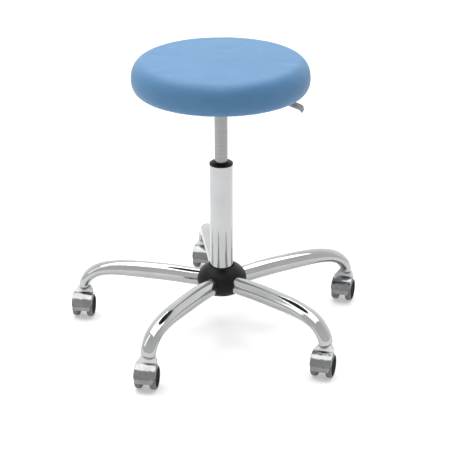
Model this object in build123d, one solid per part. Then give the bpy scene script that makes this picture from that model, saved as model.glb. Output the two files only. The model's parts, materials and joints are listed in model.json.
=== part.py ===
from build123d import *
import os
import math

# Five-star swivel stool on casters, with a gas lift and a round padded seat.
# Millimetres, +Z up. The origin is on the floor, on the column's axis.

os.makedirs("parts", exist_ok=True)

# ---------------------------------------------------------------- dimensions
ARM_COUNT = 5
ARM_AZ0 = 242.1            # azimuth of the first arm, degrees from +X
R_PIVOT = 311.2            # radius of the circle that the caster stems stand on
ARM_WALL = 2.0
# stations along an arm: radius, height, thickness in the arm's plane, width
ARM_STATIONS = [
    (20.0, 110.0, 38.0, 38.0),
    (120.0, 113.0, 38.0, 38.0),
    (165.0, 114.6, 37.2, 38.0),
    (200.0, 115.2, 35.8, 37.8),
    (235.0, 114.3, 32.8, 37.3),
    (262.0, 110.6, 29.8, 36.6),
    (280.0, 104.8, 28.0, 36.0),
    (293.0, 96.8, 26.6, 35.3),
    (303.0, 86.8, 25.4, 34.8),
    (309.3, 76.3, 24.5, 34.3),
    (311.2, 66.5, 24.0, 34.0),
]
ARM_END_Z = 66.5

CORE_R = 33.0              # welded steel hub
CORE_Z0, CORE_Z1 = 86.3, 135.5
COVER_A, COVER_B, COVER_ZC = 54.0, 39.0, 109.0   # hub cover: spheroid half axes, centre
COVER_Z0, COVER_Z1, COVER_SPLIT = 83.0, 142.0, 111.0
COVER_WALL = 3.0
SCREW_R = 43.5             # hub cover screws, between the arms

COL_R, COL_WALL = 25.0, 2.0          # outer tube of the lift
COL_Z0, COL_Z1 = 78.0, 375.0
TAPER_Z1, COL_R_LOW = 138.0, 23.4
BUSH_Z0, BUSH_TOP = 300.0, 382.0
ROD_TUBE_R, ROD_TUBE_WALL = 14.0, 2.0     # inner tube of the lift
ROD_TUBE_Z0, ROD_TUBE_Z1 = 205.0, 517.0
ROD_TAPER_Z0, ROD_TAPER_R1 = 487.0, 13.1
PISTON_ROD_R = 5.0
RUN = 0.05                 # radial clearance of a running fit

WHEEL_R, WHEEL_IN, WHEEL_OUT = 25.0, 8.3, 22.5
TRAIL = 16.0
TRAIL_AZ = [-99.1, -106.8, -107.6, -101.7, -96.5]   # which way each caster trails at rest
AXLE_R, AXLE_HALF = 3.0, 18.6
HOOD_R, HOOD_RI, HOOD_HALF, HOOD_TOP = 31.5, 28.3, 22.4, 56.5
NECK_TOP = 66.0
STEM_R = 5.0

SEAT_R = 185.7
SEAT_TOP, SEAT_BOTTOM = 606.0, 539.8
TOP_EDGE = (28.0, 38.0)    # horizontal and vertical half axes of the top edge
BOT_EDGE = (16.0, 26.0)
SKIN = 1.2
BOARD_R, BOARD_Z0, BOARD_Z1 = 166.0, 541.0, 553.0

LEVER_AZ = -10.0           # direction of the height lever
PIVOT_X, PIVOT_Z = 40.0, 526.0
PLATE_TOP, PLATE_T = 540.2, 2.5
TRAY_Z0 = 508.0


# ---------------------------------------------------------------- helpers
def cyl(r, z0, z1, x=0.0, y=0.0):
    return Pos(x, y, (z0 + z1) / 2) * Cylinder(r, z1 - z0)


def tube(r, ri, z0, z1, x=0.0, y=0.0):
    return cyl(r, z0, z1, x, y) - cyl(ri, z0 - 1, z1 + 1, x, y)


def box(x0, x1, y0, y1, z0, z1):
    return Pos((x0 + x1) / 2, (y0 + y1) / 2, (z0 + z1) / 2) * Box(x1 - x0, y1 - y0, z1 - z0)


def p3(p):
    return (p[0], 0.0, p[1])


def line(a, b):
    return Edge.make_line(p3(a), p3(b))


def arc(a, corner, b):
    # exact quarter ellipse from a to b, with its tangents meeting at corner
    return Edge.make_bezier(p3(a), p3(corner), p3(b), weights=[1, math.sqrt(0.5), 1])


def turned(edges):
    return Part() + revolve(Face(Wire(edges)), Axis.Z)


def poly(points):
    pts = [p3(p) for p in points]
    return Part() + revolve(Face(Wire.make_polygon(pts, close=True)), Axis.Z)


def spin(shape, deg):
    return Rot(0, 0, deg) * shape


def save(name, solids):
    if not isinstance(solids, (list, tuple)):
        solids = [solids]
    flat = []
    for s in solids:
        flat += list(s.solids())
    shape = flat[0] if len(flat) == 1 else Compound(children=flat)
    shape.label = name
    export_step(shape, "parts/" + name + ".step")


arm_az = [ARM_AZ0 + 72.0 * i for i in range(ARM_COUNT)]


# ---------------------------------------------------------------- arms
def arm_loft(shrink):
    faces = []
    n = len(ARM_STATIONS)
    for i, (r, z, t, w) in enumerate(ARM_STATIONS):
        a = ARM_STATIONS[max(i - 1, 0)]
        b = ARM_STATIONS[min(i + 1, n - 1)]
        tx, tz = b[0] - a[0], b[1] - a[1]
        if i == n - 1:
            tx, tz = 0.0, -1.0
        m = math.hypot(tx, tz)
        pl = Plane(origin=(r, 0, z), x_dir=(0, 1, 0), z_dir=(tx / m, 0, tz / m))
        faces.append(pl * Ellipse(w / 2 - shrink, t / 2 - shrink))
    return Part() + loft(faces)


arm_solid = arm_loft(0.0) - arm_loft(ARM_WALL) - cyl(CORE_R, 60, 160)
arm_solid = max(arm_solid.solids(), key=lambda s: s.volume)
for i, az in enumerate(arm_az):
    save("arm_%d" % (i + 1), spin(arm_solid, az))

# ---------------------------------------------------------------- column outer tube
taper = (COL_R - COL_R_LOW) / (TAPER_Z1 - COL_Z0)


def col_r(z):
    return COL_R - taper * max(TAPER_Z1 - z, 0.0)


outer_tube = poly([
    (6.0, COL_Z0), (COL_R_LOW, COL_Z0), (COL_R, TAPER_Z1), (COL_R, COL_Z1),
    (COL_R - COL_WALL, COL_Z1), (COL_R - COL_WALL, TAPER_Z1),
    (col_r(COL_Z0 + 3) - COL_WALL, COL_Z0 + 3), (6.0, COL_Z0 + 3),
])
save("lift_outer_tube", outer_tube)

bush = poly([
    (ROD_TUBE_R + RUN, BUSH_Z0 + 1.0), (ROD_TUBE_R + RUN + 1.0, BUSH_Z0), (COL_R - COL_WALL, BUSH_Z0),
    (COL_R - COL_WALL, COL_Z1), (COL_R + 0.3, COL_Z1), (COL_R + 0.3, COL_Z1 + 3.2),
    (COL_R - 0.9, COL_Z1 + 4.4), (17.6, BUSH_TOP), (15.4, BUSH_TOP), (ROD_TUBE_R + RUN, BUSH_TOP - 1.3),
])
save("lift_guide_bush", bush)

# ---------------------------------------------------------------- hub
core = cyl(CORE_R, CORE_Z0, CORE_Z1) - poly([
    (0, CORE_Z0 - 1), (col_r(CORE_Z0 - 1), CORE_Z0 - 1), (col_r(CORE_Z1 + 1), CORE_Z1 + 1), (0, CORE_Z1 + 1)])
save("hub_core", core)


def spheroid(a, b):
    zc = COVER_ZC
    return turned([arc((0, zc - b), (a, zc - b), (a, zc)), arc((a, zc), (a, zc + b), (0, zc + b)),
                   line((0, zc + b), (0, zc - b))])


outer = spheroid(COVER_A, COVER_B) & cyl(60, COVER_Z0, COVER_Z1)
inner = spheroid(COVER_A - COVER_WALL, COVER_B - COVER_WALL) & cyl(60, COVER_Z0 + COVER_WALL, COVER_Z1 - COVER_WALL)
shell = outer - inner
mids = [az + 36.0 for az in arm_az]
for m in mids:
    b = spin(cyl(4.6, COVER_Z0, COVER_Z1, SCREW_R), m) & outer
    shell = shell + b
notch = arm_loft(-0.35)
for az in arm_az:
    shell = shell - spin(notch, az)
shell = shell - cyl(CORE_R + 0.25, 84.5, 137.2) - cyl(25.7, 60, 160)
shell = shell - poly([(25.0, 140.2), (25.7, 140.2), (27.6, 142.5), (25.0, 142.5)])
upper = shell & cyl(60, COVER_SPLIT + 0.1, 150)
lower = shell & cyl(60, 70, COVER_SPLIT - 0.1)
screws = []
for m in mids:
    upper = upper - spin(cyl(1.75, 100, 124, SCREW_R), m)
    lower = lower - spin(cyl(2.1, 80, 120, SCREW_R), m) - spin(cyl(3.8, 80, 93.0, SCREW_R), m)
    s = cyl(1.75, 92.0, 122.0, SCREW_R) + cyl(3.5, 90.6, 93.0, SCREW_R)
    s = s - box(SCREW_R - 2.4, SCREW_R + 2.4, -0.4, 0.4, 90.0, 91.6) - box(SCREW_R - 0.4, SCREW_R + 0.4, -2.4, 2.4, 90.0, 91.6)
    screws.append(spin(s, m))


def biggest(p, floor=60.0):
    return [s for s in p.solids() if s.volume > floor]


save("hub_cover_upper", biggest(upper))
save("hub_cover_lower", biggest(lower))
save("hub_cover_screws", screws)

# ---------------------------------------------------------------- caster sockets and stems
sockets, stems = [], []
for az in arm_az:
    plug = extrude(Plane.XY.offset(ARM_END_Z) * Ellipse(9.3, 14.4), 4.0)
    sock = Pos(R_PIVOT, 0, 0) * (plug + cyl(7.0, ARM_END_Z, 77.0) - cyl(STEM_R, 50, 90))
    sockets.append(spin(sock, az))
    stem = cyl(STEM_R, ARM_END_Z, 76.0) + cyl(8.0, NECK_TOP + 0.15, ARM_END_Z) + cyl(4.0, 34.0, ARM_END_Z)
    stem = stem - tube(6.0, 3.2, 37.0, 38.4)
    stems.append(spin(Pos(R_PIVOT, 0, 0) * stem, az))
save("stem_sockets", sockets)
save("caster_stems", stems)


# ---------------------------------------------------------------- casters
def wedge(a0, a1, r=80.0):
    # sector of a plane seen along +Y, angles from +X towards +Z
    pts = [(0, 0, 0)]
    n = 8
    for i in range(n + 1):
        t = math.radians(a0 + (a1 - a0) * i / n)
        pts.append((r * math.cos(t), 0, r * math.sin(t)))
    return pts


def slab(points, half):
    # prism along Y from a closed polygon in the XZ plane
    f = Face(Wire.make_polygon([p3(p) for p in points], close=True))
    return Part() + extrude(f, half, both=True)


def prism(points, z0, z1):
    f = Face(Wire.make_polygon([(p[0], p[1], z0) for p in points], close=True))
    return Part() + extrude(f, z1 - z0, dir=(0, 0, 1))


def make_hood():
    cx, cz = TRAIL, WHEEL_R
    hw = HOOD_HALF
    drum = Cylinder(HOOD_R, 2 * hw)
    drum = fillet(drum.edges().filter_by(GeomType.CIRCLE), 1.3)
    ring = Pos(cx, 0, cz) * (Rot(90, 0, 0) * (drum - Cylinder(HOOD_RI, 60)))
    pts = [(p[0] + cx, 0, p[2] + cz) for p in wedge(-3.0, 93.0)]
    fender = ring & (Part() + extrude(Face(Wire.make_polygon(pts, close=True)), 30, both=True))
    # teardrop notches in the lower corners, over the tyres
    for s in (-1, 1):
        notch = [(hw + 1, 39.0), (hw - 0.5, 37.0), (hw - 2.2, 31.5), (hw - 4.2, 26.5), (hw - 5.4, 22.0), (hw - 5.2, 18.0), (hw + 1, 18.0)]
        f = Face(Wire.make_polygon([(cx + 18.0, s * a, z) for a, z in notch], close=True))
        fender = fender - (Part() + extrude(f, 20.0, dir=(1, 0, 0)))
    low = [(cx - 0.6, hw), (-4.0, 17.0), (-11.0, 9.5), (-11.0, -9.5), (-4.0, -17.0), (cx - 0.6, -hw)]
    high = [(6.5, 14.0), (-4.0, 12.2), (-9.0, 6.6), (-9.0, -6.6), (-4.0, -12.2), (6.5, -14.0)]
    neck = Part() + loft([Face(Wire.make_polygon([(x, y, HOOD_TOP) for x, y in low], close=True)),
                          Face(Wire.make_polygon([(x, y, NECK_TOP) for x, y in high], close=True))], ruled=True)
    try:
        up = [e for e in neck.edges() if e.center().Z > HOOD_TOP + 1.0]
        neck = fillet(up, 1.6)
    except Exception as err:
        print("neck fillet skipped:", err)
    skirt = prism(low, HOOD_TOP - 4.0, HOOD_TOP)
    hood = fender + neck + skirt
    # web between the wheels with the stem boss and the axle boss
    web = slab([(-7.5, 56.0), (cx, 56.0), (37, 47), (43.5, 30), (40, 21), (25, 15.5), (9, 16), (-3, 28), (-8, 42)], 5.0)
    limit = Pos(cx, 0, cz) * (Rot(90, 0, 0) * Cylinder(HOOD_RI + 1.5, 60))
    web = web & (limit + box(-20, cx, -20, 20, 0, HOOD_TOP))
    boss = cyl(8.6, 31.0, HOOD_TOP)
    axle_boss = Pos(cx, 0, cz) * (Rot(90, 0, 0) * Cylinder(7.0, 15.2))
    hood = hood + web + boss + axle_boss
    room = Pos(cx, 0, cz) * (Rot(90, 0, 0) * (Cylinder(WHEEL_R + 1.3, 60) - Cylinder(40, 2 * 7.6)))
    hood = hood - room
    hood = hood - cyl(4.0 + RUN, 33.0, 70.0)
    hood = hood - Pos(cx, 0, cz) * (Rot(90, 0, 0) * Cylinder(AXLE_R, 60))
    return max(hood.solids(), key=lambda q: q.volume)


hood = make_hood()

wheel_profile = [
    line((AXLE_R + 0.06, WHEEL_IN), (7.0, WHEEL_IN)),
    line((7.0, WHEEL_IN), (7.0, WHEEL_IN + 0.9)),
    line((7.0, WHEEL_IN + 0.9), (21.5, WHEEL_IN + 0.9)),
    arc((21.5, WHEEL_IN + 0.9), (WHEEL_R, WHEEL_IN + 0.9), (WHEEL_R, WHEEL_IN + 4.5)),
    line((WHEEL_R, WHEEL_IN + 4.5), (WHEEL_R, WHEEL_OUT - 4.2)),
    arc((WHEEL_R, WHEEL_OUT - 4.2), (WHEEL_R, WHEEL_OUT), (21.6, WHEEL_OUT)),
    line((21.6, WHEEL_OUT), (20.4, WHEEL_OUT)),
    line((20.4, WHEEL_OUT), (20.0, WHEEL_OUT - 1.3)),
    line((20.0, WHEEL_OUT - 1.3), (7.4, WHEEL_OUT - 2.4)),
    line((7.4, WHEEL_OUT - 2.4), (6.6, WHEEL_OUT - 1.4)),
    line((6.6, WHEEL_OUT - 1.4), (0, WHEEL_OUT - 1.2)),
    line((0, WHEEL_OUT - 1.2), (0, AXLE_HALF + 0.5)),
    line((0, AXLE_HALF + 0.5), (AXLE_R + 0.06, AXLE_HALF + 0.5)),
    line((AXLE_R + 0.06, AXLE_HALF + 0.5), (AXLE_R + 0.06, WHEEL_IN)),
]
wheel = turned(wheel_profile)
axle = Rot(90, 0, 0) * Cylinder(AXLE_R, 2 * AXLE_HALF)
axle = chamfer(axle.edges().filter_by(GeomType.CIRCLE), 0.5)

for i, az in enumerate(arm_az):
    t = math.radians(az)
    place = Pos(R_PIVOT * math.cos(t), R_PIVOT * math.sin(t), 0) * Rot(0, 0, TRAIL_AZ[i])
    n = i + 1
    save("caster_%d_hood" % n, place * hood)
    save("caster_%d_axle" % n, place * (Pos(TRAIL, 0, WHEEL_R) * axle))
    save("wheel_%d_right" % n, place * (Pos(TRAIL, 0, WHEEL_R) * (Rot(-90, 0, 0) * wheel)))
    save("wheel_%d_left" % n, place * (Pos(TRAIL, 0, WHEEL_R) * (Rot(90, 0, 0) * wheel)))

# ---------------------------------------------------------------- inside the column
BALL_R, BALL_PCR, BALL_Z = 2.4, 11.0, 86.2
lower_race = poly([(6.4, 81.0), (16.0, 81.0), (16.0, 84.6), (6.4, 84.6)])
lower_race = lower_race - Pos(0, 0, BALL_Z) * Torus(BALL_PCR, BALL_R + 0.08)
save("bearing_lower_race", lower_race)
upper_race = poly([(4.0, 87.8), (16.0, 87.8), (16.0, 91.0), (4.0, 91.0)])
upper_race = upper_race - Pos(0, 0, BALL_Z) * Torus(BALL_PCR, BALL_R + 0.08)
save("bearing_upper_race", upper_race)
cage = poly([(7.0, 85.2), (15.4, 85.2), (15.4, 87.2), (7.0, 87.2)])
balls = []
for k in range(9):
    a = math.radians(40.0 * k)
    x, y = BALL_PCR * math.cos(a), BALL_PCR * math.sin(a)
    balls.append(Pos(x, y, BALL_Z) * Sphere(BALL_R))
    cage = cage - cyl(BALL_R + 0.08, 80, 92, x, y)
save("bearing_balls", balls)
save("bearing_cage", cage)

rod = cyl(4.0, 72.5, 91.0) + cyl(PISTON_ROD_R, 91.0, 345.0)
rod = rod - tube(5.0, 3.2, 74.8, 76.6)
rod = rod - tube(6.0, 4.2, 327.0, 343.6)
save("piston_rod", rod)
save("piston_head", tube(ROD_TUBE_R - ROD_TUBE_WALL - RUN, 4.2, 328.0, 343.0) - tube(13.0, 10.4, 333.5, 337.5))
save("piston_seal", tube(ROD_TUBE_R - ROD_TUBE_WALL - RUN, 10.4, 333.5, 337.5))
save("rubber_bumper", tube(15.0, PISTON_ROD_R, 91.0, 103.0))
clip = tube(7.6, 3.2, 74.8, 76.6) - box(0, 10, -2.2, 2.2, 70, 80)
save("retaining_clip", clip)

inner_tube = poly([
    (ROD_TUBE_R - ROD_TUBE_WALL, ROD_TUBE_Z0), (ROD_TUBE_R - 0.6, ROD_TUBE_Z0), (ROD_TUBE_R, ROD_TUBE_Z0 + 0.8),
    (ROD_TUBE_R, ROD_TAPER_Z0), (ROD_TAPER_R1, ROD_TUBE_Z1), (10.6, ROD_TUBE_Z1), (10.6, ROD_TUBE_Z1 - 1.8),
    (ROD_TUBE_R - ROD_TUBE_WALL - 0.6, ROD_TUBE_Z1 - 1.8), (ROD_TUBE_R - ROD_TUBE_WALL - 0.6, 512.0), (ROD_TUBE_R - ROD_TUBE_WALL, 506.0),
])
save("lift_inner_tube", inner_tube)
save("rod_guide_seal", tube(ROD_TUBE_R - ROD_TUBE_WALL, PISTON_ROD_R + RUN, 206.0, 230.0))
valve = poly([(0, 475.0), (12.0, 475.0), (12.0, 506.0), (11.4, 512.0), (11.4, 515.2), (3.55, 515.2), (3.55, 495.0), (0, 495.0)])
save("valve_body", valve)
pin = chamfer((cyl(3.5, 500.0, 522.5)).edges().filter_by(GeomType.CIRCLE), 0.7)
save("release_pin", pin)

# ---------------------------------------------------------------- seat plate, lever
cup = poly([
    (ROD_TUBE_R, ROD_TAPER_Z0), (18.0, ROD_TAPER_Z0), (19.0, ROD_TAPER_Z0 + 1.5), (19.0, 519.0),
    (ROD_TAPER_R1 - 0.03, 519.0), (ROD_TAPER_R1, ROD_TUBE_Z1)])
save("taper_cup", spin(cup, LEVER_AZ))

FL_Z0 = PLATE_TOP - PLATE_T
FLANGE_X, FLANGE_Y = 190.0, 156.0
TRAY_X, TRAY_Y = 132.0, 86.0
flange = extrude(Plane.XY.offset(FL_Z0) * RectangleRounded(FLANGE_X, FLANGE_Y, 18), PLATE_T)
tray_out = extrude(Plane.XY.offset(TRAY_Z0) * RectangleRounded(TRAY_X, TRAY_Y, 14), FL_Z0 + 0.5 - TRAY_Z0)
tray_out = fillet([e for e in tray_out.edges() if abs(e.center().Z - TRAY_Z0) < 0.01], 4.0)
tray_in = extrude(Plane.XY.offset(TRAY_Z0 + PLATE_T) * RectangleRounded(TRAY_X - 5, TRAY_Y - 5, 11.5), 60)
plate = flange + tray_out - tray_in
plate = plate - cyl(19.0, 480, 520)
BOLT_X, BOLT_Y = 160.0, 126.0
bolt_xy = [(sx * BOLT_X / 2, sy * BOLT_Y / 2) for sx in (-1, 1) for sy in (-1, 1)]
for x, y in bolt_xy:
    plate = plate - cyl(3.3, 500, 560, x, y)
plate = plate - box(60, 72, -7.0, 7.0, 517.0, 535.5)
for s in (-1, 1):
    ear = box(32.5, 47.5, min(s * 7.0, s * 9.6), max(s * 7.0, s * 9.6), TRAY_Z0 + PLATE_T - 0.5, 533.5)
    plate = plate + ear
plate = plate - Pos(PIVOT_X, 0, PIVOT_Z) * (Rot(90, 0, 0) * Cylinder(2.5, 40))
save("seat_plate", spin(plate, LEVER_AZ))

pivot = Pos(PIVOT_X, 0, PIVOT_Z) * (Rot(90, 0, 0) * Cylinder(2.5, 22.0))
save("lever_pivot_pin", spin(pivot, LEVER_AZ))

bar = box(-7.0, 54.0, -6.0, 6.0, 523.0, 531.0)
bar = bar + Pos(PIVOT_X, 0, PIVOT_Z) * (Rot(90, 0, 0) * Cylinder(6.4, 12.0))
bar = bar & box(-10, 60, -6, 6, 519.6, 532.4)
LEAN = 1.9


def lean(shape):
    return Pos(48.0, 0, 526.5) * Rot(0, LEAN, 0) * Pos(-48.0, 0, -526.5) * shape


rodl = lean(Pos((46.0 + 127.0) / 2, 0, 526.5) * (Rot(0, 90, 0) * Cylinder(4.0, 81.0)))
lever_arm = bar + rodl - Pos(PIVOT_X, 0, PIVOT_Z) * (Rot(90, 0, 0) * Cylinder(2.56, 40))
save("lever_arm", spin(lever_arm, LEVER_AZ))

# paddle: a flat tongue that droops outwards, on a socket over the lever's end
PAD_T, PAD_W, DROOP = 4.6, 25.0, 17.5
ZP = 526.5
c, s = math.cos(math.radians(DROOP)), math.sin(math.radians(DROOP))
x0, x1, x2 = 112.0, 132.0, 175.0
xe = x2 - 3.0
up = [(x0, ZP + PAD_T / 2), (x1, ZP + PAD_T / 2), (xe, ZP + PAD_T / 2 - (xe - x1) * s / c), (x2, ZP - (x2 - x1) * s / c - 3.6)]
dn = [(x2 - 3.0, ZP - (x2 - x1) * s / c - 6.6), (xe - 4.5, ZP - PAD_T / 2 - (xe - 4.5 - x1) * s / c), (x1 - 0.8, ZP - PAD_T / 2), (x0, ZP - PAD_T / 2)]
tongue = slab(up + dn, PAD_W / 2)
planform = extrude(Plane.XY.offset(490) * RectangleRounded(x2 - x0, PAD_W, 9.0), 60)
tongue = tongue & (Pos((x0 + x2) / 2, 0, 0) * planform)
socket = Pos(120.0, 0, ZP) * (Rot(0, 90, 0) * Cylinder(5.6, 24.0))
paddle = tongue + socket - Pos(110.0, 0, ZP) * (Rot(0, 90, 0) * Cylinder(4.0, 34.0))
save("lever_paddle", spin(lean(paddle), LEVER_AZ))

coil_r, wire_r, coil_z0, coil_z1 = 3.4, 0.55, TRAY_Z0 + PLATE_T + 0.6, 522.4
turns = 4.5
helix = Helix(pitch=(coil_z1 - coil_z0) / turns, height=coil_z1 - coil_z0, radius=coil_r)
sec = Plane(origin=helix @ 0, z_dir=helix % 0) * Circle(wire_r)
spring = Pos(25.5, 0, coil_z0) * (Part() + sweep(sec, path=helix))
save("lever_spring", spin(spring, LEVER_AZ))

# ---------------------------------------------------------------- seat
def seat_body(off):
    r, zt, zb = SEAT_R - off, SEAT_TOP - off, SEAT_BOTTOM + off
    ta, tb = TOP_EDGE[0] - off, TOP_EDGE[1] - off
    ba, bb = BOT_EDGE[0] - off, BOT_EDGE[1] - off
    return turned([
        line((0, zb), (r - ba, zb)),
        arc((r - ba, zb), (r, zb), (r, zb + bb)),
        line((r, zb + bb), (r, zt - tb)),
        arc((r, zt - tb), (r, zt), (r - ta, zt)),
        line((r - ta, zt), (0, zt)),
        line((0, zt), (0, zb)),
    ])


full = seat_body(0.0)
inside = seat_body(SKIN)
cover = full - inside - cyl(150.0, 530, 545)
save("seat_cover", cover)
foam = inside - cyl(BOARD_R, 530, BOARD_Z1)
save("seat_foam", max(foam.solids(), key=lambda q: q.volume))

board = cyl(BOARD_R, BOARD_Z0, BOARD_Z1)
tnuts, bolts = [], []
lining = poly([(0, 540.2), (147.2, 540.2), (148.2, 539.0), (160.0, 539.0), (160.0, 539.8), (149.0, 539.8), (148.0, 541.0), (0, 541.0)])
for x, y in bolt_xy:
    nut = cyl(9.5, BOARD_Z1 - 1.2, BOARD_Z1, x, y) + cyl(4.4, 543.5, BOARD_Z1 - 1.0, x, y) - cyl(3.0, 530, 560, x, y)
    board = board - cyl(4.4, 530, 560, x, y) - cyl(9.5, BOARD_Z1 - 1.2, 560, x, y)
    lining = lining - cyl(4.4, 530, 545, x, y)
    tnuts.append(spin(nut, LEVER_AZ))
    head = cyl(6.0, FL_Z0 - 3.6, FL_Z0, x, y)
    head = fillet([e for e in head.edges() if abs(e.center().Z - (FL_Z0 - 3.6)) < 0.01], 1.4)
    hexa = extrude(Plane((x, y, FL_Z0 - 3.7)) * RegularPolygon(2.3, 6), 2.2)
    bolts.append(spin(head + cyl(3.0, FL_Z0 - 0.5, 551.5, x, y) - hexa, LEVER_AZ))
save("seat_board", spin(board, LEVER_AZ))
save("board_tnuts", tnuts)
save("plate_bolts", bolts)
save("seat_lining", spin(lining, LEVER_AZ))

staples = []
for k in range(30):
    st = box(153.4, 154.6, -5.0, 5.0, 538.5, 539.0) + box(153.4, 154.6, -5.0, -4.4, 538.5, 545.0) + box(153.4, 154.6, 4.4, 5.0, 538.5, 545.0)
    staples.append(spin(st, 12.0 * k + 3.0))
save("cover_staples", staples)
print("volume of an arm", arm_solid.volume, "hood", hood.volume, "valid", hood.is_valid)
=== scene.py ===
import math
import json

import bpy
import bmesh
from mathutils import Vector, Matrix


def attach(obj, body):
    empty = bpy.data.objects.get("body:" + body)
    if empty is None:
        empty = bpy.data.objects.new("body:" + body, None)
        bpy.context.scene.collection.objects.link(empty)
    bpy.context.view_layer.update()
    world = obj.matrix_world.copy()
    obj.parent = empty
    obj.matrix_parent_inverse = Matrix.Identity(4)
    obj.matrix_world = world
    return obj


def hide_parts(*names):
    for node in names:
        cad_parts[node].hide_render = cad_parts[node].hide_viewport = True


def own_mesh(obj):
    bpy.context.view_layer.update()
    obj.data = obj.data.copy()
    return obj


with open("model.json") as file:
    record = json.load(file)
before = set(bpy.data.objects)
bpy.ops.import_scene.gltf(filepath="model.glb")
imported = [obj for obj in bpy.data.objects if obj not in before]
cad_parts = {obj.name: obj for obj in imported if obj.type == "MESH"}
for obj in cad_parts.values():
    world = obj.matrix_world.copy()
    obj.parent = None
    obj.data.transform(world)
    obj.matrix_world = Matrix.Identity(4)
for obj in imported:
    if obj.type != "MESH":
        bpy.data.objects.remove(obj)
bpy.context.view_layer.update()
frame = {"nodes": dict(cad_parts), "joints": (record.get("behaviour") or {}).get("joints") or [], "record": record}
NODES = frame["nodes"]
scene = bpy.context.scene


# ------------------------------------------------------------------ node helpers
class Mat:
    """A small wrapper for building a procedural material on object coordinates."""

    def __init__(self, name, base=(0.5, 0.5, 0.5), metallic=0.0, rough=0.4, **extra):
        self.m = bpy.data.materials.new(name)
        self.m.use_nodes = True
        self.nt = self.m.node_tree
        self.b = self.nt.nodes["Principled BSDF"]
        self.b.inputs["Base Color"].default_value = (*base, 1)
        self.b.inputs["Metallic"].default_value = metallic
        self.b.inputs["Roughness"].default_value = rough
        for k, v in extra.items():
            self.b.inputs[k.replace("_", " ")].default_value = v
        self.tc = self.nt.nodes.new("ShaderNodeTexCoord")

    def node(self, kind, **props):
        n = self.nt.nodes.new(kind)
        for k, v in props.items():
            setattr(n, k, v)
        return n

    def link(self, a, b):
        self.nt.links.new(a, b)

    def coords(self, scale=(1, 1, 1)):
        mp = self.node("ShaderNodeMapping")
        mp.inputs["Scale"].default_value = scale
        self.link(self.tc.outputs["Object"], mp.inputs["Vector"])
        return mp.outputs["Vector"]

    def noise(self, scale, detail=3.0, rough=0.5, stretch=(1, 1, 1), distortion=0.0):
        n = self.node("ShaderNodeTexNoise")
        n.inputs["Scale"].default_value = scale
        n.inputs["Detail"].default_value = detail
        n.inputs["Roughness"].default_value = rough
        n.inputs["Distortion"].default_value = distortion
        self.link(self.coords(stretch), n.inputs["Vector"])
        return n.outputs["Fac"]

    def voronoi(self, scale, feature="F1", stretch=(1, 1, 1), randomness=1.0):
        n = self.node("ShaderNodeTexVoronoi", feature=feature)
        n.inputs["Scale"].default_value = scale
        n.inputs["Randomness"].default_value = randomness
        self.link(self.coords(stretch), n.inputs["Vector"])
        return n.outputs["Distance"]

    def ramp(self, fac, stops):
        n = self.node("ShaderNodeValToRGB")
        e = n.color_ramp.elements
        while len(e) < len(stops):
            e.new(0.5)
        for i, (p, c) in enumerate(stops):
            e[i].position = p
            e[i].color = (*c, 1) if hasattr(c, "__len__") else (c, c, c, 1)
        self.link(fac, n.inputs["Fac"])
        return n.outputs["Color"]

    def math(self, op, a, b):
        n = self.node("ShaderNodeMath", operation=op)
        for i, v in enumerate((a, b)):
            if hasattr(v, "node"):
                self.link(v, n.inputs[i])
            else:
                n.inputs[i].default_value = v
        return n.outputs[0]

    def range(self, fac, lo, hi, frm=(0.0, 1.0)):
        n = self.node("ShaderNodeMapRange")
        n.inputs["From Min"].default_value, n.inputs["From Max"].default_value = frm
        n.inputs["To Min"].default_value, n.inputs["To Max"].default_value = lo, hi
        self.link(fac, n.inputs["Value"])
        return n.outputs["Result"]

    def bump(self, height, strength=0.2, distance=0.001, prev=None):
        n = self.node("ShaderNodeBump")
        n.inputs["Strength"].default_value = strength
        n.inputs["Distance"].default_value = distance
        self.link(height, n.inputs["Height"])
        if prev is not None:
            self.link(prev, n.inputs["Normal"])
        return n.outputs["Normal"]

    def color(self, out):
        self.link(out, self.b.inputs["Base Color"])
        return self

    def rough(self, out):
        self.link(out, self.b.inputs["Roughness"])
        return self

    def normal(self, out):
        self.link(out, self.b.inputs["Normal"])
        return self


def mix(c1, c2, t):
    return tuple(a * (1 - t) + b * t for a, b in zip(c1, c2))


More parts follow.
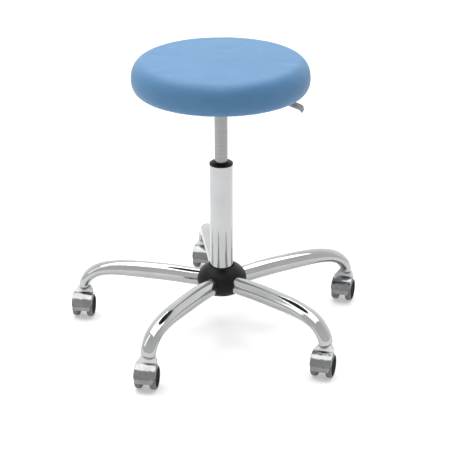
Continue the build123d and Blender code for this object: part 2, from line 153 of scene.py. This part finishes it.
def make_materials():
    mats = {}
    # polished chrome: faint polishing haze and a very slow waviness from the bent tube
    c = Mat("chrome_tube_finish", (0.86, 0.87, 0.88), 1.0, 0.06)
    c.color(c.ramp(c.noise(14, 4), [(0.3, (0.47, 0.475, 0.48)), (0.7, (0.54, 0.545, 0.55))]))
    c.rough(c.range(c.noise(60, 5, 0.6), 0.035, 0.10))
    c.normal(c.bump(c.noise(9, 2), 0.10, 0.0006, c.bump(c.noise(900, 2), 0.02, 0.0002)))
    mats["chrome_tube"] = c.m
    # caster hood: polished drum; above the fold at 56.5 mm the neck is painted much lighter and rougher, a painted
    # highlight standing in for the overhead light on the top of the hood
    c = Mat("caster_chrome_painted_lit_neck_finish", (0.4, 0.4, 0.41), 1.0, 0.2)
    sepz = c.node("ShaderNodeSeparateXYZ")
    c.link(c.coords(), sepz.inputs[0])
    painted_lit_neck_mask = c.range(sepz.outputs["Z"], 0.0, 1.0, (0.0560, 0.0566))
    tone = c.node("ShaderNodeMix", data_type="RGBA")
    c.link(painted_lit_neck_mask, tone.inputs["Factor"])
    c.link(c.ramp(c.noise(60, 4), [(0.3, (0.225, 0.227, 0.23)), (0.7, (0.30, 0.302, 0.306))]), tone.inputs[6])
    # painted highlight: the light colour given to the neck above the fold
    tone.inputs[7].default_value = (0.56, 0.563, 0.567, 1)
    c.color(tone.outputs[2])
    rgh = c.node("ShaderNodeMix", data_type="FLOAT")
    c.link(painted_lit_neck_mask, rgh.inputs["Factor"])
    c.link(c.range(c.noise(160, 5, 0.6), 0.12, 0.20), rgh.inputs[2])
    rgh.inputs[3].default_value = 0.48
    c.rough(rgh.outputs[0])
    c.normal(c.bump(c.noise(75, 3), 0.6, 0.0010))
    mats["caster_chrome"] = c.m
    # satin grey inner tube: fine lines round the tube from centreless grinding
    c = Mat("satin_tube_finish", (0.5, 0.51, 0.52), 1.0, 0.32)
    c.color(c.ramp(c.noise(6, 3, 0.5, (1, 1, 40)), [(0.3, (0.30, 0.305, 0.31)), (0.7, (0.39, 0.395, 0.40))]))
    c.rough(c.range(c.noise(12, 4, 0.6, (1, 1, 60)), 0.24, 0.40))
    c.normal(c.bump(c.noise(20, 3, 0.6, (1, 1, 120)), 0.06, 0.0003))
    mats["satin_tube"] = c.m
    c = Mat("zinc_finish", (0.6, 0.61, 0.62), 1.0, 0.36)
    c.color(c.ramp(c.noise(120, 5), [(0.3, (0.48, 0.49, 0.50)), (0.7, (0.66, 0.67, 0.68))]))
    c.rough(c.range(c.noise(220, 5), 0.26, 0.5))
    c.normal(c.bump(c.noise(700, 3), 0.08, 0.0002))
    mats["steel_parts"] = c.m
    c = Mat("machined_aluminium_finish", (0.75, 0.76, 0.77), 1.0, 0.3)
    c.rough(c.range(c.noise(30, 4, 0.6, (1, 1, 60)), 0.2, 0.42))
    c.color(c.ramp(c.noise(90, 4), [(0.3, (0.68, 0.69, 0.70)), (0.7, (0.8, 0.805, 0.81))]))
    mats["aluminium_parts"] = c.m
    # moulded black nylon: fine spark texture, worn a little smoother in patches
    c = Mat("black_plastic_finish", (0.010, 0.010, 0.011), 0.0, 0.4, Specular_IOR_Level=0.18)
    c.color(c.ramp(c.noise(40, 4), [(0.35, (0.007, 0.007, 0.008)), (0.7, (0.013, 0.013, 0.015))]))
    c.rough(c.range(c.noise(90, 5), 0.30, 0.46))
    c.normal(c.bump(c.noise(1500, 3, 0.6), 0.10, 0.0002))
    mats["black_plastic"] = c.m
    c = Mat("black_rubber_finish", (0.02, 0.02, 0.02), 0.0, 0.65)
    c.rough(c.range(c.noise(300, 4), 0.5, 0.75))
    c.normal(c.bump(c.noise(1800, 3), 0.12, 0.0002))
    mats["black_rubber"] = c.m
    c = Mat("black_paint_finish", (0.02, 0.02, 0.022), 0.0, 0.45)
    c.color(c.ramp(c.noise(80, 4), [(0.3, (0.016, 0.016, 0.018)), (0.7, (0.03, 0.03, 0.032))]))
    c.rough(c.range(c.noise(130, 4), 0.34, 0.55))
    c.normal(c.bump(c.noise(420, 2, 0.5), 0.22, 0.0003))
    mats["plate_black"] = c.m
    c = Mat("hub_paint_finish", (0.01, 0.01, 0.011), 0.0, 0.42, Specular_IOR_Level=0.08)
    c.color(c.ramp(c.noise(80, 4), [(0.3, (0.007, 0.007, 0.008)), (0.7, (0.014, 0.014, 0.015))]))
    c.rough(c.range(c.noise(130, 4), 0.34, 0.5))
    c.normal(c.bump(c.noise(420, 2, 0.5), 0.16, 0.0003))
    mats["hub_steel"] = c.m
    c = Mat("wheel_grey_finish", (0.2, 0.2, 0.21), 0.0, 0.4)
    c.color(c.ramp(c.noise(110, 5), [(0.3, (0.150, 0.150, 0.156)), (0.7, (0.21, 0.21, 0.217))]))
    c.rough(c.range(c.noise(160, 5), 0.32, 0.52))
    c.normal(c.bump(c.noise(1300, 3), 0.12, 0.0002))
    mats["wheel_grey"] = c.m
    c = Mat("wheel_disc_finish", (0.02, 0.02, 0.021), 0.0, 0.6, Specular_IOR_Level=0.02)
    c.color(c.ramp(c.noise(130, 5), [(0.3, (0.016, 0.016, 0.017)), (0.7, (0.028, 0.028, 0.030))]))
    c.rough(c.range(c.noise(150, 5), 0.5, 0.68))
    c.normal(c.bump(c.noise(1500, 3), 0.10, 0.0002))
    mats["wheel_disc"] = c.m
    c = Mat("lever_steel_finish", (0.5, 0.51, 0.52), 1.0, 0.3)
    c.color(c.ramp(c.noise(120, 5), [(0.3, (0.42, 0.43, 0.44)), (0.7, (0.55, 0.56, 0.57))]))
    c.rough(c.range(c.noise(220, 5), 0.22, 0.4))
    mats["lever_steel"] = c.m
    c = Mat("lever_grey_finish", (0.34, 0.35, 0.36), 0.0, 0.38)
    c.color(c.ramp(c.noise(90, 5), [(0.3, (0.30, 0.305, 0.31)), (0.7, (0.38, 0.385, 0.39))]))
    c.rough(c.range(c.noise(200, 4), 0.3, 0.46))
    c.normal(c.bump(c.noise(900, 3), 0.08, 0.0002))
    mats["lever_grey"] = c.m
    # plywood: face grain along one way
    c = Mat("plywood_finish", (0.62, 0.45, 0.27), 0.0, 0.6)
    c.color(c.ramp(c.noise(8, 6, 0.6, (1, 14, 60)), [(0.25, (0.42, 0.27, 0.14)), (0.75, (0.68, 0.50, 0.31))]))
    c.normal(c.bump(c.noise(20, 4, 0.6, (1, 18, 60)), 0.15, 0.0004))
    mats["plywood"] = c.m
    c = Mat("foam_finish", (0.82, 0.78, 0.62), 0.0, 0.95)
    c.color(c.ramp(c.voronoi(500), [(0.0, (0.62, 0.57, 0.40)), (0.6, (0.86, 0.82, 0.66))]))
    c.normal(c.bump(c.voronoi(500), 0.5, 0.0008))
    mats["foam"] = c.m
    # smooth upholstery vinyl: very fine embossed grain under a soft satin coat
    c = Mat("vinyl_blue_finish", (0.12, 0.33, 0.62), 0.0, 0.42, Specular_IOR_Level=0.28)
    c.color(c.ramp(c.noise(22, 5, 0.55), [(0.3, VINYL_A), (0.7, VINYL_B)]))
    c.rough(c.range(c.noise(70, 5, 0.6), 0.36, 0.48))
    grain = c.math("ADD", c.range(c.voronoi(1150), 0.0, 0.7), c.range(c.noise(1900, 3), 0.0, 0.5))
    c.normal(c.bump(grain, 0.13, 0.00025, c.bump(c.noise(26, 3), 0.10, 0.0006)))
    mats["vinyl_blue"] = c.m
    # non-woven dust cover: pressed dimples and loose fibres
    c = Mat("lining_finish", (0.014, 0.014, 0.015), 0.0, 0.9)
    c.color(c.ramp(c.noise(900, 4, 0.7, (1, 1, 1)), [(0.3, (0.010, 0.010, 0.011)), (0.7, (0.028, 0.028, 0.03))]))
    c.normal(c.bump(c.voronoi(420, randomness=0.15), 0.4, 0.0004, c.bump(c.noise(1400, 4, 0.7), 0.3, 0.0003)))
    mats["lining_black"] = c.m
    return mats


VINYL_A = (0.092, 0.232, 0.425)
VINYL_B = (0.105, 0.254, 0.452)
MATS = make_materials()
SLOT_OF = {s["node"]: s["material_slot"] for s in frame["record"]["subparts"]}


def dress(o, slot):
    m = MATS[slot]
    if not o.material_slots:
        o.data.materials.append(m)
    for s in o.material_slots:
        s.material = m


for n, o in NODES.items():
    dress(o, SLOT_OF[n])



# ------------------------------------------------------------------ mesh helpers
def make_object(name, verts, faces, mats, mat_index=None, sharp=math.radians(32)):
    me = bpy.data.meshes.new(name)
    me.from_pydata([tuple(v) for v in verts], [], faces)
    me.validate()
    for m in mats:
        me.materials.append(m)
    if mat_index is not None:
        for p, k in zip(me.polygons, mat_index):
            p.material_index = k
    bm = bmesh.new()
    bm.from_mesh(me)
    bmesh.ops.recalc_face_normals(bm, faces=bm.faces)
    bm.to_mesh(me)
    bm.free()
    me.shade_smooth()
    me.set_sharp_from_angle(angle=sharp)
    ob = bpy.data.objects.new(name, me)
    scene.collection.objects.link(ob)
    return ob


def lathe(name, profile, centre, axis, mats, n=96, ripple=None, sharp=math.radians(32)):
    """Turns a profile of (radius, along, material) about axis through centre. Radius 0 makes a pole."""
    axis = Vector(axis).normalized()
    side = axis.orthogonal().normalized()
    other = axis.cross(side)
    verts, rings = [], []
    for r, t, _ in profile:
        if r < 1e-7:
            rings.append([len(verts)])
            verts.append(Vector(centre) + axis * t)
        else:
            ring = []
            for k in range(n):
                a = 2 * math.pi * k / n
                rr = r + (ripple(r, t, a) if ripple else 0.0)
                ring.append(len(verts))
                verts.append(Vector(centre) + axis * t + side * (rr * math.cos(a)) + other * (rr * math.sin(a)))
            rings.append(ring)
    faces, idx = [], []
    for i in range(len(rings) - 1):
        p, q = rings[i], rings[i + 1]
        for k in range(n):
            k2 = (k + 1) % n
            if len(p) == 1 and len(q) == 1:
                continue
            if len(p) == 1:
                faces.append((p[0], q[k], q[k2]))
            elif len(q) == 1:
                faces.append((p[k], q[0], p[k2]))
            else:
                faces.append((p[k], q[k], q[k2], p[k2]))
            idx.append(profile[i][2])
    return make_object(name, verts, faces, mats, idx, sharp)


def rounded(points, mat=0, steps=5):
    """Profile points (r, z, radius of the corner) to (r, z, mat) with the corners rounded."""
    out = []
    for i, (x, y, rad) in enumerate(points):
        if rad <= 0 or i in (0, len(points) - 1):
            out.append((x, y, mat))
            continue
        p = Vector((x, y))
        a = Vector(points[i - 1][:2]) - p
        b = Vector(points[i + 1][:2]) - p
        ang = a.angle(b)
        d = min(rad / math.tan(ang / 2), a.length * 0.49, b.length * 0.49)
        p0, p1 = p + a.normalized() * d, p + b.normalized() * d
        for k in range(steps + 1):
            t = k / steps
            q = p0 * (1 - t) ** 2 + p * 2 * t * (1 - t) + p1 * t * t
            out.append((q.x, q.y, mat))
    return out


MM = 0.001

# ------------------------------------------------------------------ wheels: grey tyre moulded round a dark dished disc
JOINT = {j["name"]: j for j in frame["joints"]}


def jpos(j):
    for k in ("pos_m", "pos", "position"):
        if k in j:
            return Vector(j[k])
    raise KeyError(str(j))


def wheel(name, centre, axis):
    p = []
    # inner face, tyre, outer face, disc; along, radius in mm
    p += rounded([(3.06, 19.1, 0), (3.06, 8.3, 0), (7.0, 8.3, 0.4), (7.0, 9.2, 0.3), (17.8, 9.2, 0), (18.2, 8.9, 0)], 1)[:-1]
    p += [(18.2, 9.0, 0), (21.4, 9.2, 0)]
    for k in range(1, 9):
        t = math.radians(90 * k / 8)
        p.append((21.4 + 3.6 * math.sin(t), 12.8 - 3.6 * math.cos(t), 0))
    p += [(25.0, 13.2, 0), (25.0, 15.2, 0), (24.86, 15.35, 0), (24.86, 15.65, 0), (25.0, 15.8, 0), (25.0, 18.3, 0)]
    for k in range(1, 9):
        t = math.radians(90 * k / 8)
        p.append((21.6 + 3.4 * math.cos(t), 18.3 + 4.2 * math.sin(t), 0))
    p += [(21.0, 22.44, 0), (20.8, 22.2, 0), (20.78, 21.5, 1), (20.5, 21.45, 1), (20.3, 21.7, 1)]
    p += rounded([(20.0, 21.7, 0), (18.2, 21.5, 0.5), (16.2, 20.5, 0.8), (9.4, 20.1, 0.8), (7.6, 21.0, 0.6), (4.2, 21.25, 0.5), (3.0, 20.9, 0.4), (0.0, 20.9, 0)], 1)
    p = [(r * MM, t * MM, m) for r, t, m in p]
    return lathe(name, p, centre, axis, [MATS["wheel_grey"], MATS["wheel_disc"]], 96, None, math.radians(38))


for i in range(1, 6):
    jl, jr = JOINT["wheel_%d_left_roll" % i], JOINT["wheel_%d_right_roll" % i]
    pl, pr = jpos(jl), jpos(jr)
    mid = (pl + pr) / 2
    ax = (pr - pl).normalized()
    for side, sgn in (("left", -1), ("right", 1)):
        ob = wheel("wheel_%d_%s_tyre_and_disc" % (i, side), mid, ax * sgn)
        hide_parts("wheel_%d_%s" % (i, side))
        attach(ob, "wheel_%d_%s" % (i, side))

# ------------------------------------------------------------------ lever return spring: a copy of the CAD spring with its own mesh, carried with the seat
coil = bpy.data.objects.new("lever_return_spring", NODES["lever_spring"].data.copy())
scene.collection.objects.link(coil)
coil.matrix_world = NODES["lever_spring"].matrix_world.copy()
dress(coil, SLOT_OF["lever_spring"])
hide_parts("lever_spring")
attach(coil, "seat")
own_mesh(coil)

# ------------------------------------------------------------------ cushion: measured profile, with a cloth step for unevenness
SEAT_R, SEAT_TOP, SEAT_BOT = 185.7, 606.0, 539.8


def seat_profile(off):
    r, zt, zb = SEAT_R - off, SEAT_TOP - off, SEAT_BOT + off * 0.3
    ta, tb, ba, bb = 28.0 - off, 38.0 - off, 16.0 - off, 26.0 - off * 0.3
    p = [(0.0, zb)]
    p += [((r - ba) * k / 8.0, zb) for k in range(1, 8)]
    for k in range(0, 9):
        t = math.radians(90 * k / 8)
        p.append((r - ba + ba * math.sin(t), zb + bb - bb * math.cos(t)))
    for k in range(0, 11):
        t = math.radians(90 * k / 10)
        p.append((r - ta + ta * math.cos(t), zt - tb + tb * math.sin(t)))
    p += [((r - ta) * (1 - k / 8.0), zt) for k in range(1, 8)]
    p.append((0.0, zt))
    return [(x * MM, z * MM, 0) for x, z in p]


def remesh(ob, size):
    md = ob.modifiers.new("remesh", "REMESH")
    md.mode = "VOXEL"
    md.voxel_size = size
    md.adaptivity = 0
    return bake(ob)


def bake(ob):
    """Applies every modifier of ob and returns it with the new mesh."""
    dg = bpy.context.evaluated_depsgraph_get()
    dg.update()
    new = bpy.data.meshes.new_from_object(ob.evaluated_get(dg), preserve_all_data_layers=True, depsgraph=dg)
    old = ob.data
    ob.modifiers.clear()
    ob.data = new
    bpy.data.meshes.remove(old)
    return ob


cushion = lathe("seat_cushion", seat_profile(2.2), (0, 0, 0), (0, 0, 1), [MATS["vinyl_blue"]], 120)
cushion = remesh(cushion, 0.005)
rest = [v.co.copy() for v in cushion.data.vertices]
g = cushion.vertex_groups.new(name="pin")
for v in cushion.data.vertices:
    rr = math.hypot(v.co.x, v.co.y)
    if v.co.z < 0.5425 and rr < 0.168:
        g.add([v.index], 1.0, "REPLACE")
    elif v.co.z < 0.556 and rr < 0.181:
        g.add([v.index], 0.4, "REPLACE")
md = cushion.modifiers.new("cloth", "CLOTH")
cs = md.settings
cs.quality = 6
cs.mass = 0.35
cs.tension_stiffness = cs.compression_stiffness = 40
cs.shear_stiffness = 25
cs.bending_stiffness = 4.0
cs.tension_damping = cs.compression_damping = 12
cs.air_damping = 3
cs.use_pressure = True
cs.uniform_pressure_force = 4.0
cs.effector_weights.gravity = 0.0
cs.vertex_group_mass = "pin"
md.collision_settings.use_collision = False
md.collision_settings.use_self_collision = False
md.point_cache.frame_start, md.point_cache.frame_end = 1, 20
scene.frame_start, scene.frame_end = 1, 20
for fr_ in range(1, 21):
    scene.frame_set(fr_)
dg = bpy.context.evaluated_depsgraph_get()
ev = cushion.evaluated_get(dg).to_mesh()
moved = [v.co.copy() for v in ev.vertices]
cushion.modifiers.clear()
CAP = 0.004
for v, a0, b0 in zip(cushion.data.vertices, rest, moved):
    d = b0 - a0
    if d.length > CAP:
        d = d.normalized() * CAP
    v.co = a0 + d
scene.frame_set(1)
cushion.vertex_groups.clear()

# smooth out the voxel steps, then one subdivision
bm = bmesh.new()
bm.from_mesh(cushion.data)
for _ in range(12):
    bmesh.ops.smooth_vert(bm, verts=[v for v in bm.verts if v.co.z > 0.5412], factor=0.5, use_axis_x=True, use_axis_y=True, use_axis_z=True)
bm.to_mesh(cushion.data)
bm.free()
sub = cushion.modifiers.new("sub", "SUBSURF")
sub.levels = sub.render_levels = 1
cushion = bake(cushion)


def fit_cushion():
    """Sets every point back on the measured profile. Of the cloth step only unevenness round the seat is kept, at most
    0.7 mm and on average under 0.1 mm, so the seat's shape comes from the profile and the crown, not from the cloth."""
    vs = cushion.data.vertices
    target = [(x, z) for x, z, _ in seat_profile(0.0)]
    seg, run = [], 0.0
    for p, q in zip(target, target[1:]):
        d = math.hypot(q[0] - p[0], q[1] - p[1])
        seg.append((p, q, d, run))
        run += d

    def nearest(r, z):
        best = None
        for p, q, d, at in seg:
            ux, uz = (q[0] - p[0]) / d, (q[1] - p[1]) / d
            t = max(0.0, min(d, (r - p[0]) * ux + (z - p[1]) * uz))
            cx, cz = p[0] + ux * t, p[1] + uz * t
            e = math.hypot(r - cx, z - cz)
            if best is None or e < best[0]:
                side = (r - cx) * uz - (z - cz) * ux
                best = (e, math.copysign(e, side), at + t, cx, cz, uz, -ux)
        return best[1:]
    found = [nearest(math.hypot(v.co.x, v.co.y), v.co.z) for v in vs]
    bins = 80
    total, count = [0.0] * (bins + 1), [0] * (bins + 1)
    for f_ in found:
        k = int(f_[1] / run * bins)
        total[k] += f_[0]
        count[k] += 1
    mean = [t / c_ if c_ else 0.0 for t, c_ in zip(total, count)]
    mean = [sum(mean[max(0, k - 1):k + 2]) / len(mean[max(0, k - 1):k + 2]) for k in range(bins + 1)]
    pleats = 34
    for v, (dev, at, cx, cz, nx, nz) in zip(vs, found):
        a = math.atan2(v.co.y, v.co.x)
        k = at / run * bins
        k0 = int(k)
        avg = mean[k0] + (mean[min(k0 + 1, bins)] - mean[k0]) * (k - k0)
        own = max(-0.0007, min(0.0007, 0.5 * (dev - avg)))
        r, z = cx + nx * own, cz + nz * own
        if z > 0.590:
            # a low crown over the middle
            t = min(r / 0.165, 1.0)
            z += 0.0016 * (1 - t * t) ** 2 * min((z - 0.590) / 0.014, 1.0)
        # pleats where the cover turns under the board
        low = max(0.0, min(1.0, (0.549 - z) / 0.007))
        if low > 0 and 0.148 < r < 0.180:
            ph = pleats * a + 0.7 * math.sin(3 * a) + 0.5 * math.sin(7 * a + 1.1)
            crest = (0.5 + 0.5 * math.sin(ph)) ** 3
            w = math.exp(-((r - 0.166) / 0.006) ** 2) * low * crest
            z += 0.0009 * w
            r *= 1 - 0.002 * w
        if r < 0.1680 and z < 0.548:
            z = min(z, 0.5405)
        v.co = (r * math.cos(a), r * math.sin(a), max(z, 0.5398))


fit_cushion()

# the board's recess in the underside, inside the stapled hem
cut = lathe("board_recess", [(0, 0.530, 0), (0.1502, 0.530, 0), (0.1502, 0.5413, 0), (0, 0.5413, 0)], (0, 0, 0), (0, 0, 1), [MATS["vinyl_blue"]], 160)
bo = cushion.modifiers.new("recess", "BOOLEAN")
bo.operation = "DIFFERENCE"
bo.solver = "EXACT"
bo.object = cut
cushion = bake(cushion)
bpy.data.objects.remove(cut)
cushion.data.shade_smooth()
cushion.data.set_sharp_from_angle(angle=math.radians(50))
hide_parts("seat_cover", "seat_foam")
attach(cushion, "seat")

# ------------------------------------------------------------------ dust cover: non-woven sheet stapled under the board
STAPLES = 30


def lining_ring(r, top):
    """Height of the sheet at radius r (mm): flat on the board, stepping down on to the hem of the cover."""
    t = max(0.0, min(1.0, (r - 147.2) / 1.6))
    t = t * t * (3 - 2 * t)
    return (540.95 - 1.2 * t) if top else (540.25 - 1.2 * t)


def build_lining():
    n = 240
    radii = [8.0 * k for k in range(1, 18)] + [140.0, 144.0, 146.5, 147.2, 147.6, 148.0, 148.4, 148.8, 150.0, 152.0, 154.0, 156.0, 158.0, 159.4, 160.0]
    verts, faces = [], []

    def sag(r, a):
        # the sheet bellies a little between its staples and is drawn up at each of them
        w = max(0.0, min(1.0, (r - 149.5) / 3.0))
        edge = 0.5 - 0.5 * math.cos(STAPLES * (a - math.radians(3)))
        return 0.28 * w * edge

    for top in (True, False):
        verts.append((0.0, 0.0, lining_ring(0, top) * MM))
        for r in radii:
            for k in range(n):
                a = 2 * math.pi * k / n
                rr = r - (0.5 * (0.5 - 0.5 * math.cos(STAPLES * (a - math.radians(3)))) if r > 159 else 0.0)
                z = lining_ring(rr, top) - sag(rr, a)
                verts.append((rr * math.cos(a) * MM, rr * math.sin(a) * MM, z * MM))
    per = 1 + n * len(radii)
    for s in (0, per):
        for k in range(n):
            faces.append((s, s + 1 + k, s + 1 + (k + 1) % n))
        for i in range(len(radii) - 1):
            for k in range(n):
                k2 = (k + 1) % n
                p, q = s + 1 + i * n, s + 1 + (i + 1) * n
                faces.append((p + k, q + k, q + k2, p + k2))
    last = 1 + n * (len(radii) - 1)
    for k in range(n):
        k2 = (k + 1) % n
        faces.append((last + k, per + last + k, per + last + k2, last + k2))
    return make_object("seat_dust_cover", verts, faces, [MATS["lining_black"]], None, math.radians(50))


lining = build_lining()
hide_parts("seat_lining")
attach(lining, "seat")

# ------------------------------------------------------------------ camera, light, floor
cam = bpy.data.cameras.new("camera")
cam.lens = 118.47
cam.sensor_width = 36.0
cam.clip_end = 50
co = bpy.data.objects.new("camera", cam)
scene.collection.objects.link(co)
r = Vector((0.999907, 0.013612, -0.0041)).normalized()
f = Vector((-0.01248, 0.91742, -0.3976)).normalized()
u = r.cross(f).normalized()
roll = -0.0043
yaw = Vector((f.y, -f.x, 0)).normalized()
up0 = yaw.cross(f)
r2 = math.cos(roll) * yaw + math.sin(roll) * up0
u2 = -math.sin(roll) * yaw + math.cos(roll) * up0
co.matrix_world = Matrix((
    (r2.x, u2.x, -f.x, 0.04957),
    (r2.y, u2.y, -f.y, -2.93902),
    (r2.z, u2.z, -f.z, 1.50588),
    (0, 0, 0, 1)))
scene.camera = co

me = bpy.data.meshes.new("floor")
me.from_pydata([(-9, -9, 0), (9, -9, 0), (9, 9, 0), (-9, 9, 0)], [], [(0, 1, 2, 3)])
floor = bpy.data.objects.new("floor", me)
scene.collection.objects.link(floor)
fm = Mat("floor_finish", (0.93, 0.93, 0.93), 0.0, 0.7)
fb = fm.m.node_tree.nodes["Principled BSDF"]
fb.inputs["Specular IOR Level"].default_value = 0.1
fb.inputs["Emission Color"].default_value = (1, 1, 1, 1)
flp = fm.node("ShaderNodeLightPath")
fm.link(fm.range(flp.outputs["Is Camera Ray"], 0.16, 0.34), fb.inputs["Emission Strength"])
me.materials.append(fm.m)


def area(name, loc, target, size, power, color=(1, 1, 1), size_y=None):
    li = bpy.data.lights.new(name, "AREA")
    li.shape = "RECTANGLE"
    li.size = size
    li.size_y = size_y or size
    li.energy = power
    li.color = color
    ob = bpy.data.objects.new(name, li)
    ob.location = loc
    d = Vector(target) - Vector(loc)
    ob.rotation_euler = d.to_track_quat("-Z", "Y").to_euler()
    scene.collection.objects.link(ob)
    return ob


area("softbox_top", (-0.2, 0.3, 2.9), (0, 0.1, 0.3), 3.2, 84)
area("softbox_left", (-2.6, -0.6, 1.9), (0, 0, 0.35), 0.8, 7, size_y=2.2)

w = bpy.data.worlds.new("studio")
scene.world = w
w.use_nodes = True
nt = w.node_tree
for n in list(nt.nodes):
    nt.nodes.remove(n)


def wn(kind, **inputs):
    n = nt.nodes.new(kind)
    for k, v in inputs.items():
        n.inputs[k].default_value = v
    return n


out = wn("ShaderNodeOutputWorld")
bg_cam = wn("ShaderNodeBackground", Color=(1, 1, 1, 1), Strength=1.05)
bg = wn("ShaderNodeBackground", Strength=1.0)
tc = wn("ShaderNodeTexCoord")
sep = wn("ShaderNodeSeparateXYZ")
nt.links.new(tc.outputs["Generated"], sep.inputs[0])
# a pale wall behind the stool and a darker room in front of it
side = wn("ShaderNodeMapRange")
side.interpolation_type = "SMOOTHSTEP"
for k, v in (("From Min", -0.35), ("From Max", 0.75), ("To Min", 0.30), ("To Max", 1.12)):
    side.inputs[k].default_value = v
nt.links.new(sep.outputs["Y"], side.inputs["Value"])
# a little darker overhead, outside the softbox
high = wn("ShaderNodeMapRange")
high.interpolation_type = "SMOOTHSTEP"
for k, v in (("From Min", 0.35), ("From Max", 0.95), ("To Min", 1.0), ("To Max", 0.55)):
    high.inputs[k].default_value = v
nt.links.new(sep.outputs["Z"], high.inputs["Value"])
mul = nt.nodes.new("ShaderNodeMath")
mul.operation = "MULTIPLY"
nt.links.new(side.outputs["Result"], mul.inputs[0])
nt.links.new(high.outputs["Result"], mul.inputs[1])
lp = nt.nodes.new("ShaderNodeLightPath")
shine = nt.nodes.new("ShaderNodeMapRange")
shine.inputs["To Min"].default_value, shine.inputs["To Max"].default_value = 0.0, 1.0
nt.links.new(lp.outputs["Is Glossy Ray"], shine.inputs["Value"])
room = nt.nodes.new("ShaderNodeMix")
room.data_type = "FLOAT"
nt.links.new(shine.outputs["Result"], room.inputs["Factor"])
nt.links.new(mul.outputs[0], room.inputs[2])
lift = nt.nodes.new("ShaderNodeMapRange")
for k, v in (("From Min", 0.0), ("From Max", 1.1), ("To Min", 0.62), ("To Max", 1.15)):
    lift.inputs[k].default_value = v
nt.links.new(mul.outputs[0], lift.inputs["Value"])
nt.links.new(lift.outputs["Result"], room.inputs[3])
nt.links.new(room.outputs[0], bg.inputs["Color"])
mx = nt.nodes.new("ShaderNodeMixShader")
nt.links.new(lp.outputs["Is Camera Ray"], mx.inputs[0])
nt.links.new(bg.outputs[0], mx.inputs[1])
nt.links.new(bg_cam.outputs[0], mx.inputs[2])
nt.links.new(mx.outputs[0], out.inputs[0])
scene.view_settings.view_transform = "Standard"
scene.view_settings.look = "None"
